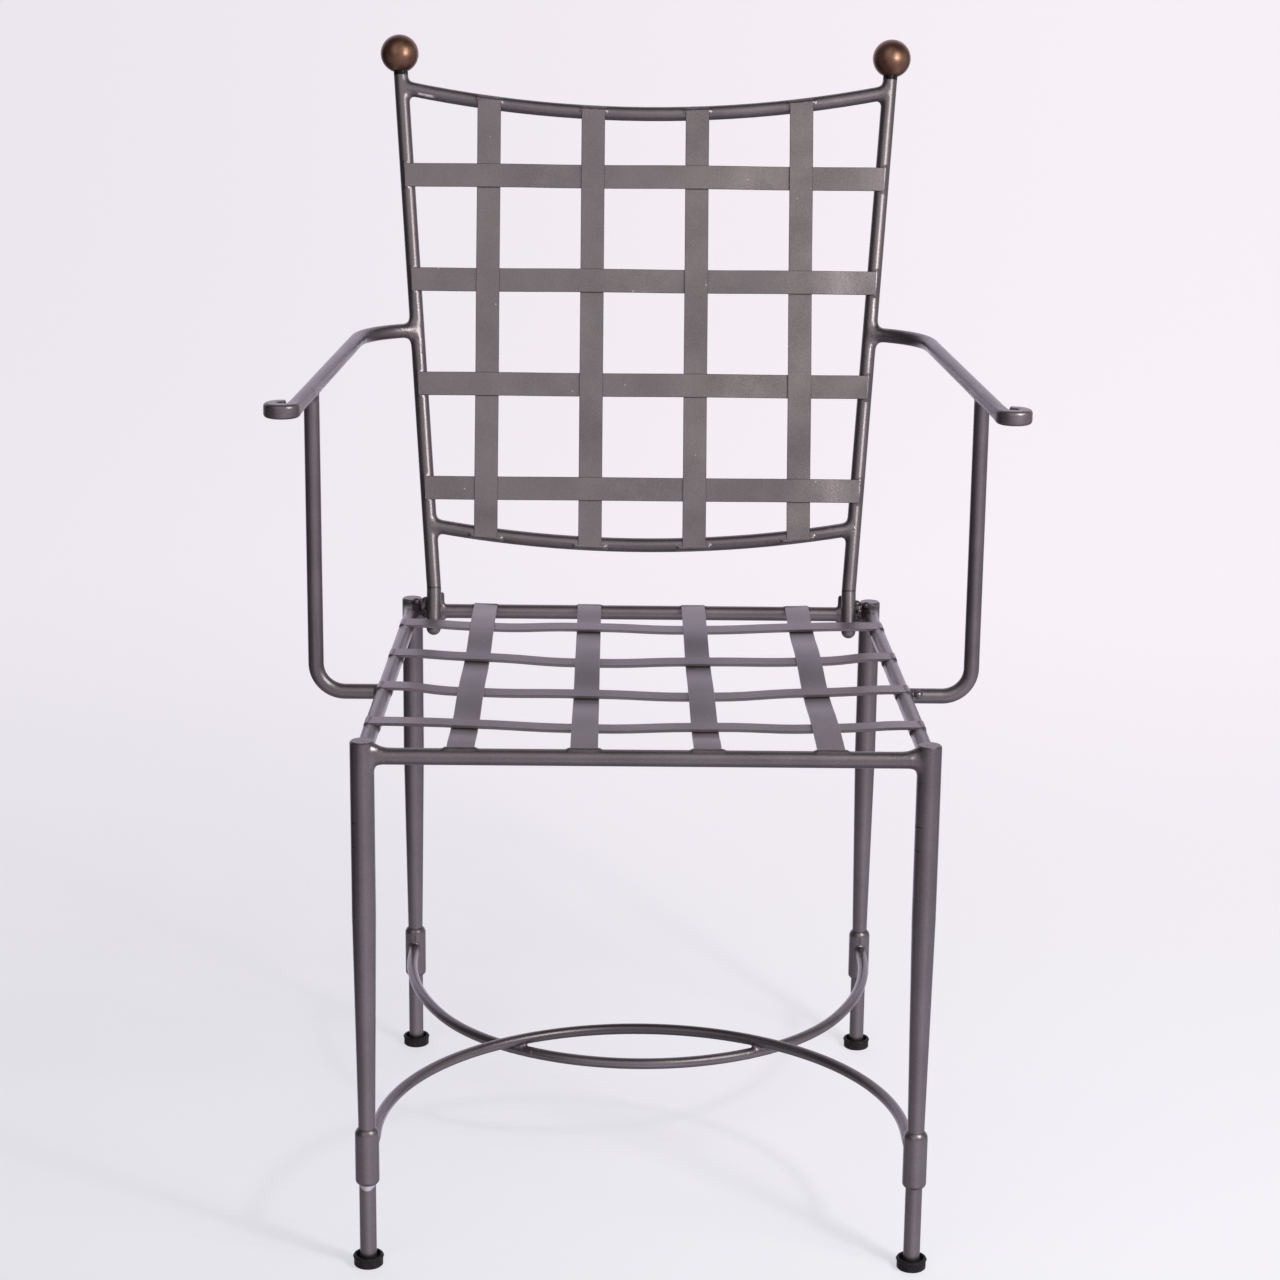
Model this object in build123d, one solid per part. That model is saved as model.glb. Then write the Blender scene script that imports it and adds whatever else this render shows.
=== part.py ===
from build123d import *
import os
from math import atan, cos, degrees, radians, sin, sqrt, tan

# A welded patio armchair: round rod frame, woven flat straps, ball finials and rubber foot caps.
# Millimetres. X is to the right as seen from the front, Y runs to the back, Z is up.
# The origin is on the floor, under the middle of the chair's overall box.

# Stock
ROD_D = 13.2
BACK_RAIL_D = 13.0
ARM_D = 13.0
POST_D = 12.8
LEG_D = 19.0
STRETCHER_D = 9.4
STRAP_W = 21.6
STRAP_T = 2.4
STRAP_EDGE = 0.4
WEAVE_GAP = 0.3

# Legs
LEG_TOP_Z = 442.0
LEG_TOP_ROUND = 1.2
TAPER_TOP_Z = 298.0
FRONT_LEG_X = 220.0
REAR_LEG_X = 212.0
LEG_DEPTH = 468.0

# Collars, pegs and foot caps
PEG_D = 13.6
PEG_END_BEVEL = 1.0
COLLAR_D = 19.4
COLLAR_BOTTOM_Z = 71.0
COLLAR_LENGTH = 48.0
COLLAR_SHOULDER = 5.5
COLLAR_LOW_ROUND = 4.0
COLLAR_LIP = 0.3
FOOT_RIM_D = 25.0
FOOT_BASE_D = 23.6
FOOT_H = 9.0
FOOT_LIP_H = 2.6
FOOT_WALL = 2.4
FOOT_FLOOR = 3.0
FOOT_SOCKET = 2.2
FOOT_ROUND = 0.8

# Seat
RAIL_Z = 429.5
SEAT_STRAP_PITCH = 96.0
CROSS_STRAP_FRONT = 77.0
CROSS_STRAP_REAR = 70.0
STRAPS = 4
SEAT_DIP = 7.5
CROSS_WEAVE = 0.9
MEAN_DIP = 0.75
SEAT_STRAP_RISE = 0.5
FRONT_LAP = 0.0
REAR_LAP = 2.5
SIDE_LAP = 4.0

# Back
BACK_LEAN = 14.5
BACK_SPLAY = 4.15
STUB_X = 191.6
STUB_DROP = 19.0
STUB_SEAM = 24.0
FINIAL_RISE = 53.5
BALL_D = 35.0
STUD_D = 6.0
STUD_REACH = 12.0
WELD_R = 9.0
WELD_STEP = 2.5
WELD_RISE = 3.0
BACK_RAIL_BOW_R = 1130.0
TOP_RAIL_MID = 464.0
BOTTOM_RAIL_MID = 65.6
BACK_STRAP_PITCH = 96.0
BACK_CROSS_LOW = 51.2
BACK_CROSS_HIGH = 59.2
BACK_STRAP_BITE = 1.4
BACK_STRAP_OVER = 5.6
BACK_CROSS_LAP = 1.5

# Arms
ARM_Z = 683.5
ARM_BEND_R = 42.0
ARM_BEND_START = 0.6
ARM_SPLAY = 3.05
ARM_TIP_Y = 95.0
CURL_R = 8.8
CURL_TURN = 275.0
CURL_W = 11.6
CURL_H = 11.8
CURL_ROUND = 3.0
CURL_NECK = 18.0
ARM_TIP_BEVEL = 0.8
POST_Y = 187.0
POST_X = 273.4
POST_BEND_R = 24.0

# Stretchers
REAR_STRETCHER_Z = 100.0
STRETCHER_STEP = 9.6
FRONT_STRETCHER_X = 214.0
REAR_STRETCHER_X = 212.5
FRONT_STRETCHER_REACH = 237.0
REAR_STRETCHER_REACH = 287.0
STRETCHER_NOSE_SHARE = 0.32
FRONT_STRETCHER_LEAD = 20.0
REAR_STRETCHER_LEAD = 30.0
STRETCHER_END = 6.0

os.makedirs("parts", exist_ok=True)

SIDES = {"left": -1, "right": 1}
ROD_R = ROD_D / 2
LEAN = radians(BACK_LEAN)
SPLAY = radians(BACK_SPLAY)
COLLAR_TOP_Z = COLLAR_BOTTOM_Z + COLLAR_LENGTH
COLLAR_MID_Z = COLLAR_BOTTOM_Z + COLLAR_LENGTH / 2
SMALL = 0.001

# The back stands on the front of the rear rail, and the finials set how far back the chair reaches.
BALL_REACH = TOP_RAIL_MID + FINIAL_RISE
BACK_FOOT = LEG_DEPTH - ROD_D / cos(LEAN)
BACK_REACH = BACK_FOOT + BALL_REACH * sin(LEAN) + BALL_D / 2
FRONT_Y = (FOOT_RIM_D / 2 - BACK_REACH) / 2
REAR_Y = FRONT_Y + LEG_DEPTH
UP = Vector(0, sin(LEAN), cos(LEAN))
FORWARD = Vector(0, -cos(LEAN), sin(LEAN))
BACK_PLANE = Plane((0, FRONT_Y + BACK_FOOT, RAIL_Z), x_dir=(1, 0, 0), z_dir=FORWARD)

CORNERS = {
    "front_left": (-FRONT_LEG_X, FRONT_Y),
    "front_right": (FRONT_LEG_X, FRONT_Y),
    "rear_left": (-REAR_LEG_X, REAR_Y),
    "rear_right": (REAR_LEG_X, REAR_Y),
}
parts = {}


def turned(points, x, y):
    """A solid turned about the upright line through x, y from points of radius and height."""
    return turned_outline(Polyline(*points, close=True), x, y)


def turned_outline(outline, x, y):
    """A solid turned about the upright line through x, y from a closed outline of radius and height."""
    return Pos(x, y, 0) * revolve(Plane.XZ * make_face(outline), Axis.Z)


def rod(start, end, diameter=ROD_D):
    """A straight round rod between two points."""
    start = Vector(start)
    along = Vector(end) - start
    return Plane(start, z_dir=along) * Cylinder(
        diameter / 2, along.length, align=(Align.CENTER, Align.CENTER, Align.MIN)
    )


def bent_rod(path, diameter=ROD_D):
    """A round rod bent along a path of lines and tangent arcs."""
    end = Plane(path @ 0, z_dir=path % 0)
    return sweep(end * Circle(diameter / 2), path)


# Legs: round bar, straight down to the taper, then drawn down to the spigot that fills the collar's upper half.
def leg(x, y):
    bar_r = LEG_D / 2
    spigot_r = PEG_D / 2
    return turned(
        [
            (0, COLLAR_MID_Z),
            (spigot_r, COLLAR_MID_Z),
            (spigot_r, COLLAR_TOP_Z),
            (bar_r, TAPER_TOP_Z),
            (bar_r, LEG_TOP_Z - LEG_TOP_ROUND),
            (bar_r - LEG_TOP_ROUND, LEG_TOP_Z),
            (0, LEG_TOP_Z),
        ],
        x,
        y,
    )


# Collars: a sleeve over the joint of leg and peg, with a rounded shoulder and a rounded lower edge.
def collar(x, y):
    bore_r = PEG_D / 2
    lip_r = bore_r + COLLAR_LIP
    wall_r = COLLAR_D / 2
    low = (wall_r, COLLAR_BOTTOM_Z + COLLAR_LOW_ROUND)
    high = (wall_r, COLLAR_TOP_Z - COLLAR_SHOULDER)
    outline = [
        Line((bore_r, COLLAR_BOTTOM_Z), (lip_r, COLLAR_BOTTOM_Z)),
        TangentArc(low, (lip_r, COLLAR_BOTTOM_Z), tangent=(0, -1)),
        Line(low, high),
        TangentArc(high, (lip_r, COLLAR_TOP_Z), tangent=(0, 1)),
        Line((lip_r, COLLAR_TOP_Z), (bore_r, COLLAR_TOP_Z)),
        Line((bore_r, COLLAR_TOP_Z), (bore_r, COLLAR_BOTTOM_Z)),
    ]
    return turned_outline(outline, x, y)


# Pegs: the thin lower end of each leg, from the middle of the collar into the foot cap.
def peg(x, y):
    peg_r = PEG_D / 2
    return turned(
        [
            (0, FOOT_FLOOR),
            (peg_r - PEG_END_BEVEL, FOOT_FLOOR),
            (peg_r, FOOT_FLOOR + PEG_END_BEVEL),
            (peg_r, COLLAR_MID_Z),
            (0, COLLAR_MID_Z),
        ],
        x,
        y,
    )


# Foot caps: a rubber cup that flares to a lip, with a socket in its floor for the peg.
def foot_cap(x, y):
    socket_r = PEG_D / 2
    rim_r = FOOT_RIM_D / 2
    base_r = FOOT_BASE_D / 2
    socket_top = FOOT_FLOOR + FOOT_SOCKET
    return turned(
        [
            (0, 0),
            (base_r - FOOT_ROUND, 0),
            (base_r, FOOT_ROUND),
            (base_r, FOOT_H - FOOT_LIP_H),
            (rim_r, FOOT_H - FOOT_LIP_H / 2),
            (rim_r - FOOT_ROUND, FOOT_H),
            (rim_r - FOOT_WALL, FOOT_H),
            (base_r - FOOT_WALL - FOOT_ROUND, socket_top),
            (socket_r, socket_top),
            (socket_r, FOOT_FLOOR),
            (0, FOOT_FLOOR),
        ],
        x,
        y,
    )


for corner, (x, y) in CORNERS.items():
    parts[f"{corner}_leg"] = leg(x, y)
    parts[f"{corner}_collar"] = collar(x, y)
    parts[f"{corner}_peg"] = peg(x, y)
    parts[f"{corner}_foot_cap"] = foot_cap(x, y)


# Seat rails: round rods, coped to the legs they are welded between.
def seat_rail(corner_a, corner_b):
    bar = rod((*CORNERS[corner_a], RAIL_Z), (*CORNERS[corner_b], RAIL_Z))
    return bar - parts[f"{corner_a}_leg"] - parts[f"{corner_b}_leg"]


parts["front_seat_rail"] = seat_rail("front_left", "front_right")
parts["rear_seat_rail"] = seat_rail("rear_left", "rear_right")
parts["left_seat_rail"] = seat_rail("front_left", "rear_left")
parts["right_seat_rail"] = seat_rail("front_right", "rear_right")


def side_rail_x(y):
    """Distance of a side rail from the chair's middle line, at a given Y."""
    return FRONT_LEG_X + (REAR_LEG_X - FRONT_LEG_X) * (y - FRONT_Y) / LEG_DEPTH


# Woven straps: flat bar that runs straight across each crossing and eases to the next crossing on two arcs.
def bend(start, end, heading):
    """An arc that leaves its start along a heading, or a line where the end lies straight ahead."""
    if abs(heading.cross(end - start).Z) < SMALL:
        return Line(start, end)
    return TangentArc(start, end, tangent=heading)


def ease(start, leave, end, arrive):
    """Two arcs from one straight run to the next, tangent to both runs and to each other."""
    span = end - start
    both = span.dot(leave + arrive)
    tilt = 2 * (1 - leave.dot(arrive)) * span.dot(span)
    reach = span.dot(span) / (both + sqrt(both**2 + tilt))
    middle = (start + leave * reach + end - arrive * reach) * 0.5
    first = bend(start, middle, leave)
    return [first, bend(middle, end, first % 1)]


def strap(place, stations, roll=0.0):
    """A flat bar along local X, tilted sideways by a slope, through stations of (distance, height, slope, run).

    The height is that of the bar's middle, and the run is how far it is straight on each side of the station.
    """
    edges = []
    last = None
    for at, height, slope, run in stations:
        heading = Vector(1, slope).normalized()
        start = Vector(at - run, height - slope * run)
        end = Vector(at + run, height + slope * run)
        if last:
            edges += ease(*last, start, heading)
        edges.append(Line(start, end))
        last = (end, heading)
    section = Rectangle(STRAP_W, STRAP_T)
    section = chamfer(section.vertices(), STRAP_EDGE)
    path = Wire(edges)
    end = Plane(path @ 0, x_dir=(0, roll, 1), z_dir=(1, 0, 0))
    return place * sweep(end * section, path)


CROSS_RUN = STRAP_W / 2 + 1
WEAVE_STEP = STRAP_T + WEAVE_GAP
NUMBERS = range(1, STRAPS + 1)


def spread(pitch, number):
    """Offset from the middle of one of the evenly spaced straps."""
    return pitch * (number - (STRAPS + 1) / 2)


# The seat is a shallow dish: its straps leave the rails flush with their tops and dip towards the middle.
SEAT_EDGE = ROD_R + SEAT_STRAP_RISE - STRAP_T / 2
SEAT_MID_Y = FRONT_Y + LEG_DEPTH / 2


def seat_height(x, y):
    across = 1 - (x / side_rail_x(y)) ** 2
    along = 1 - ((y - SEAT_MID_Y) / (LEG_DEPTH / 2)) ** 2
    return SEAT_EDGE - SEAT_DIP * across * along


def dish_slope(offset, half_span):
    """Slope of the dish along one of its axes, as the average strap meets it."""
    return 2 * SEAT_DIP * MEAN_DIP * offset / half_span**2


def seat_strap_x(number):
    return spread(SEAT_STRAP_PITCH, number)


def cross_strap_y(number):
    """Cross straps are numbered from the rear."""
    pitch = (LEG_DEPTH - CROSS_STRAP_FRONT - CROSS_STRAP_REAR) / (STRAPS - 1)
    return FRONT_Y + CROSS_STRAP_FRONT + pitch * (STRAPS - number)


def seat_strap_slope(number):
    return dish_slope(seat_strap_x(number), side_rail_x(SEAT_MID_Y))


def cross_strap_slope(number):
    return dish_slope(cross_strap_y(number) - SEAT_MID_Y, LEG_DEPTH / 2)


for number in NUMBERS:
    x = seat_strap_x(number)
    stations = [(FRONT_Y + (ROD_R - FRONT_LAP) / 2, SEAT_EDGE, 0, (ROD_R + FRONT_LAP) / 2)]
    for cross in reversed(NUMBERS):
        y = cross_strap_y(cross)
        side = 1 if (number + cross) % 2 == 0 else -1
        height = seat_height(x, y) + side * (WEAVE_STEP - CROSS_WEAVE)
        stations.append((y, height, cross_strap_slope(cross), CROSS_RUN))
    stations.append((REAR_Y - (ROD_R - REAR_LAP) / 2, SEAT_EDGE, 0, (ROD_R + REAR_LAP) / 2))
    place = Plane((x, 0, RAIL_Z), x_dir=(0, 1, 0), z_dir=(1, 0, 0))
    bar = strap(place, stations, seat_strap_slope(number))
    parts[f"seat_strap_{number}"] = bar - parts["front_seat_rail"] - parts["rear_seat_rail"]

for number in NUMBERS:
    y = cross_strap_y(number)
    reach = side_rail_x(y)
    middle = reach - (ROD_R - SIDE_LAP) / 2
    half_run = (ROD_R + SIDE_LAP) / 2
    stations = [(-middle, SEAT_EDGE, 0, half_run)]
    for lengthwise in NUMBERS:
        x = seat_strap_x(lengthwise)
        side = -1 if (number + lengthwise) % 2 == 0 else 1
        height = seat_height(x, y) + side * CROSS_WEAVE
        stations.append((x, height, seat_strap_slope(lengthwise), CROSS_RUN))
    stations.append((middle, SEAT_EDGE, 0, half_run))
    place = Plane((0, y, RAIL_Z), x_dir=(1, 0, 0), z_dir=(0, -1, 0))
    bar = strap(place, stations, -cross_strap_slope(number))
    parts[f"seat_cross_strap_{number}"] = bar - parts["left_seat_rail"] - parts["right_seat_rail"]


# Back: two stubs welded to the front of the rear rail carry the uprights, which lean back and splay outwards.
def on_back(x, height, forward=0.0):
    """A point of the back, by its distance from the middle line and its height up the leaning plane."""
    return BACK_PLANE.from_local_coords((x, height, forward))


def upright_x(height):
    """Distance of an upright's centre line from the middle line, at a height up the back."""
    return STUB_X + (height - STUB_SEAM) * tan(SPLAY)


SEAM_PLANE = Plane(on_back(0, STUB_SEAM), z_dir=UP)
upright_bars = {}
BALL_SEAT = sqrt((BALL_D / 2) ** 2 - ROD_R**2)

for name, side in SIDES.items():
    seam = on_back(side * STUB_X, STUB_SEAM)
    tip = on_back(side * STUB_X, ROD_R - STUB_DROP)
    parts[f"{name}_back_stub"] = rod(tip, seam) + Pos(*tip) * Sphere(ROD_R)

    below_seam = on_back(side * upright_x(STUB_SEAM - ROD_D), STUB_SEAM - ROD_D)
    ball = on_back(side * upright_x(BALL_REACH), BALL_REACH)
    along = (ball - below_seam).normalized()
    top = ball - along * BALL_SEAT
    stud = rod(top - along * STUD_REACH, top + along * STUD_REACH, STUD_D)
    parts[f"{name}_finial_stud"] = stud
    bar = split(rod(below_seam, top), SEAM_PLANE, keep=Keep.TOP)
    upright_bars[name] = bar
    parts[f"{name}_back_upright"] = bar - stud
    globe = split(Pos(*ball) * Sphere(BALL_D / 2), Plane(top, z_dir=along), keep=Keep.TOP)
    parts[f"{name}_finial"] = globe - stud


# Back welds: a lump fills the corner between stub, rear rail and leg, and ties the back to the seat.
gap_x = (STUB_X + ROD_R + REAR_LEG_X - LEG_D / 2) / 2
lump = Pos(-gap_x, REAR_Y - ROD_R - WELD_STEP, RAIL_Z + WELD_RISE) * Rot(Z=-90) * Sphere(WELD_R)
for neighbour in ("left_back_stub", "rear_seat_rail", "rear_left_leg", "left_seat_rail"):
    lump = lump - parts[neighbour]
parts["left_back_weld"] = lump
parts["right_back_weld"] = mirror(lump, Plane.YZ)


# Back rails: both droop in the plane of the back and are coped to the uprights.
def bowed_height(middle, x):
    return middle + BACK_RAIL_BOW_R - sqrt(BACK_RAIL_BOW_R**2 - x**2)


def back_rail(middle):
    end_x = upright_x(bowed_height(middle, upright_x(middle)))
    end_height = bowed_height(middle, end_x)
    path = BACK_PLANE * ThreePointArc((-end_x, end_height), (0, middle), (end_x, end_height))
    bar = bent_rod(path, BACK_RAIL_D)
    return bar - upright_bars["left"] - upright_bars["right"]


parts["back_top_rail"] = back_rail(TOP_RAIL_MID)
parts["back_bottom_rail"] = back_rail(BOTTOM_RAIL_MID)

# Back straps: welded to the front of the rails and uprights and woven between them.
BACK_EDGE = ROD_R - BACK_STRAP_BITE + STRAP_T / 2


def back_cross_height(number):
    """Back cross straps are numbered from the top."""
    lowest = BOTTOM_RAIL_MID + BACK_CROSS_LOW
    highest = TOP_RAIL_MID - BACK_CROSS_HIGH
    return lowest + (highest - lowest) * (STRAPS - number) / (STRAPS - 1)


for number in NUMBERS:
    x = spread(BACK_STRAP_PITCH, number)
    low = bowed_height(BOTTOM_RAIL_MID, x)
    high = bowed_height(TOP_RAIL_MID, x)
    half_run = (ROD_R + BACK_STRAP_OVER) / 2
    inset = ROD_R - half_run
    stations = [(low + inset, BACK_EDGE, 0, half_run)]
    for cross in reversed(NUMBERS):
        side = -1 if (number + cross) % 2 == 0 else 1
        stations.append((back_cross_height(cross), BACK_EDGE + side * WEAVE_STEP / 2, 0, CROSS_RUN))
    stations.append((high - inset, BACK_EDGE, 0, half_run))
    place = Plane(on_back(x, 0), x_dir=UP, z_dir=(1, 0, 0))
    bar = strap(place, stations)
    parts[f"back_strap_{number}"] = bar - parts["back_top_rail"] - parts["back_bottom_rail"]

for number in NUMBERS:
    height = back_cross_height(number)
    half_run = (ROD_R + BACK_CROSS_LAP) / 2
    middle = upright_x(height) - ROD_R + half_run
    stations = [(-middle, BACK_EDGE, 0, half_run)]
    for upright in NUMBERS:
        side = 1 if (number + upright) % 2 == 0 else -1
        stations.append((spread(BACK_STRAP_PITCH, upright), BACK_EDGE + side * WEAVE_STEP / 2, 0, CROSS_RUN))
    stations.append((middle, BACK_EDGE, 0, half_run))
    place = Plane(on_back(0, height), x_dir=(1, 0, 0), z_dir=-UP)
    bar = strap(place, stations)
    bar = bar - parts["left_back_upright"] - parts["right_back_upright"]
    parts[f"back_cross_strap_{number}"] = bar


# Arms: level rods, out from the upright and forward along a slight splay.
# The end is flattened over a short neck and curled outwards into an eye.
ARM_HEIGHT = (ARM_Z - RAIL_Z) / cos(LEAN)
ARM_ROOT = on_back(upright_x(ARM_HEIGHT), ARM_HEIGHT)
ARM_TURN = 90 - ARM_SPLAY
POST_LINE_Y = FRONT_Y + POST_Y


def arm():
    root = Vector(ARM_ROOT.X, ARM_ROOT.Y)
    bend_start = root + Vector(ROD_R + ARM_BEND_START, 0)
    elbow = CenterArc(bend_start - Vector(0, ARM_BEND_R), ARM_BEND_R, 90, -ARM_TURN)
    heading = elbow % 1
    outwards = Vector(-heading.Y, heading.X)
    run = (elbow @ 1).Y - FRONT_Y - ARM_TIP_Y
    tip = elbow @ 1 + heading * (run / cos(radians(ARM_SPLAY)))
    neck = tip - heading * CURL_NECK
    bar = bent_rod(Wire([Line(root, bend_start), elbow, Line(elbow @ 1, neck)]), ARM_D)
    round_end = Plane(neck, x_dir=outwards, z_dir=heading) * Circle(ARM_D / 2)
    flat_end = Plane(tip, x_dir=outwards, z_dir=heading) * RectangleRounded(CURL_W, CURL_H, CURL_ROUND)
    curl = CenterArc(tip + outwards * CURL_R, CURL_R, 180 + ARM_SPLAY, CURL_TURN)
    eye = sweep(flat_end, curl)
    end_face = eye.faces().sort_by_distance(curl @ 1)[0]
    eye = chamfer(end_face.edges(), ARM_TIP_BEVEL)
    return Pos(0, 0, ARM_Z) * (bar + loft([round_end, flat_end]) + eye)


# Arm posts: rods from under the arm down past the seat, bent inwards to the side rail.
def post_path():
    top = (POST_X, ARM_Z)
    corner = (POST_X, RAIL_Z)
    inner = (side_rail_x(POST_LINE_Y), RAIL_Z)
    return Plane((0, POST_LINE_Y, 0), x_dir=(1, 0, 0), z_dir=(0, -1, 0)) * FilletPolyline(
        top, corner, inner, radius=POST_BEND_R
    )


right_arm = arm() - upright_bars["right"]
right_post = bent_rod(post_path(), POST_D) - right_arm - parts["right_seat_rail"]
for number in NUMBERS:
    right_post = right_post - parts[f"seat_cross_strap_{number}"]
parts["right_arm"] = right_arm
parts["left_arm"] = mirror(right_arm, Plane.YZ)
parts["right_arm_post"] = right_post
parts["left_arm_post"] = mirror(right_post, Plane.YZ)


# Stretchers: thin rods bowed deep between the collars, the front one lying on the rear one where they cross.
def stretcher(end_x, leg_y, inward, reach, lead, z, collars):
    """A half oval on two radii that leaves the collars square, its nose tighter the deeper it is for its width."""
    depth = reach - lead
    nose_r = end_x - STRETCHER_NOSE_SHARE * (depth - end_x)
    side_r = (end_x**2 + depth**2 - 2 * depth * nose_r) / (2 * (end_x - nose_r))
    turn = degrees(atan((side_r - end_x) / (depth - nose_r)))
    lead_in = Line((-end_x, STRETCHER_END), (-end_x, lead))
    side_in = CenterArc((side_r - end_x, lead), side_r, 180, turn - 90)
    nose = CenterArc((0, reach - nose_r), nose_r, 90 + turn, -2 * turn)
    side_out = CenterArc((end_x - side_r, lead), side_r, 90 - turn, turn - 90)
    lead_out = Line((end_x, lead), (end_x, STRETCHER_END))
    bar = bent_rod(Wire([lead_in, side_in, nose, side_out, lead_out]), STRETCHER_D)
    if inward < 0:
        bar = mirror(bar, Plane.XZ)
    bar = Pos(0, leg_y, z) * bar
    for corner in collars:
        bar = bar - parts[f"{corner}_collar"] - parts[f"{corner}_leg"]
    return bar


parts["front_stretcher"] = stretcher(
    FRONT_STRETCHER_X,
    FRONT_Y,
    1,
    FRONT_STRETCHER_REACH,
    FRONT_STRETCHER_LEAD,
    REAR_STRETCHER_Z + STRETCHER_STEP,
    ("front_left", "front_right"),
)
parts["rear_stretcher"] = stretcher(
    REAR_STRETCHER_X,
    REAR_Y,
    -1,
    REAR_STRETCHER_REACH,
    REAR_STRETCHER_LEAD,
    REAR_STRETCHER_Z,
    ("rear_left", "rear_right"),
)

for name, shape in parts.items():
    export_step(shape, f"parts/{name}.step")
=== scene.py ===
import math

import bmesh
import bpy
from mathutils import Matrix, Vector


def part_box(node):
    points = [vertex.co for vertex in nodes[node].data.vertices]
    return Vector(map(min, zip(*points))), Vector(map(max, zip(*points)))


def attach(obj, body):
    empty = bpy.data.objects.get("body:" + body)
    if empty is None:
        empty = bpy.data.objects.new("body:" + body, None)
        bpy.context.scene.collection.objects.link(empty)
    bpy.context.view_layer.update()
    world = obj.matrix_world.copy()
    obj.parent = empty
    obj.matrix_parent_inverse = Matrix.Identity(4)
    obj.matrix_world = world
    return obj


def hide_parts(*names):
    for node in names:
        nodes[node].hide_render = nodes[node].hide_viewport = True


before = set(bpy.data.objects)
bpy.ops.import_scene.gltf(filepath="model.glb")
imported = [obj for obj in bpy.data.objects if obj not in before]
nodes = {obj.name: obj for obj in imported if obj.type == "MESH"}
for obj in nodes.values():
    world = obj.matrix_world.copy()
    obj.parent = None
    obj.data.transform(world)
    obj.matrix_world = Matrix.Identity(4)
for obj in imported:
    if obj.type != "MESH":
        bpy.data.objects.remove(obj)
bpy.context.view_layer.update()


# Legs: round steel bar, straight above and drawn to a taper below, with a flat closed top.
# Like the whole frame they are sprayed with a dark pewter paint that holds fine metal flake.
# Turning has left a few fine rings scored in the front pair.
class Field:
    """A socket of a material's node tree. Arithmetic on it adds Math nodes."""

    def __init__(self, tree, socket=None):
        self.tree = tree
        self.socket = socket

    def feed(self, node, inputs):
        """Sets a node's sockets to values, or links fields to them."""
        for key, value in inputs.items():
            if isinstance(value, Field):
                self.tree.links.new(value.socket, node.inputs[key])
            else:
                node.inputs[key].default_value = value

    def make(self, kind, settings=None, inputs=None, out=0):
        """Adds a node: its settings first, then the values or links of its sockets."""
        node = self.tree.nodes.new(kind)
        for key, value in (settings or {}).items():
            setattr(node, key, value)
        self.feed(node, inputs or {})
        return Field(self.tree, node.outputs[out])

    def maths(self, operation, first, second=0.0):
        return self.make("ShaderNodeMath", {"operation": operation}, {0: first, 1: second})

    def __add__(self, other):
        return self.maths("ADD", self, other)

    __radd__ = __add__

    def __sub__(self, other):
        return self.maths("SUBTRACT", self, other)

    def __rsub__(self, other):
        return self.maths("SUBTRACT", other, self)

    def __mul__(self, other):
        return self.maths("MULTIPLY", self, other)

    __rmul__ = __mul__

    def __truediv__(self, other):
        return self.maths("DIVIDE", self, other)

    def __rtruediv__(self, other):
        return self.maths("DIVIDE", other, self)

    def __abs__(self):
        return self.maths("ABSOLUTE", self)

    def between(self, low, high, to_low=0.0, to_high=1.0):
        """Eases from to_low to to_high as the value goes from low to high."""
        return self.make(
            "ShaderNodeMapRange",
            {"interpolation_type": "SMOOTHSTEP"},
            {"Value": self, "From Min": low, "From Max": high, "To Min": to_low, "To Max": to_high},
        )

    def near(self, middle, core, edge):
        """One within core of the middle value, easing to nothing at the edge."""
        return abs(self - middle).between(core, edge, 1.0, 0.0)


def new_finish(name):
    """An empty material: the material, its node fields, its shader and its Object coordinates."""
    material = bpy.data.materials.new(name)
    material.use_nodes = True
    tree = material.node_tree
    shader = tree.nodes["Principled BSDF"]
    field = Field(tree)
    place = field.make("ShaderNodeTexCoord", out="Object")
    return material, field, shader, place


def axes(field, place, wanted):
    """The wanted coordinates of a place, given by their letters."""
    return [field.make("ShaderNodeSeparateXYZ", None, {0: place}, axis) for axis in wanted]


def noise(field, place, scale, detail=2.0, roughness=0.5):
    return field.make(
        "ShaderNodeTexNoise",
        None,
        {"Vector": place, "Scale": scale, "Detail": detail, "Roughness": roughness},
    )


def blend(field, share, first, second):
    """A mix of two colours. Sockets 6, 7 and 2 are the Mix node's colour ones."""
    return field.make(
        "ShaderNodeMix",
        {"data_type": "RGBA"},
        {0: share, 6: first, 7: second},
        out=2,
    )


def relief(field, height, strength, depth, ground=None):
    """A bump from a height, on top of an earlier bump where one is given."""
    inputs = {"Strength": strength, "Distance": depth, "Height": height}
    if ground:
        inputs["Normal"] = ground
    return field.make("ShaderNodeBump", None, inputs)


# Dark scratches, joint lines and painted shade take the black below; rubbed metal and painted highlights
# take the bare steel colour.
FLAKE_SILVER = (0.40, 0.37, 0.37, 1)
SCORE_AND_SHADE_BLACK = (0.012, 0.010, 0.011, 1)
BARE_AND_HIGHLIGHT_STEEL = (0.85, 0.83, 0.84, 1)


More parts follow.
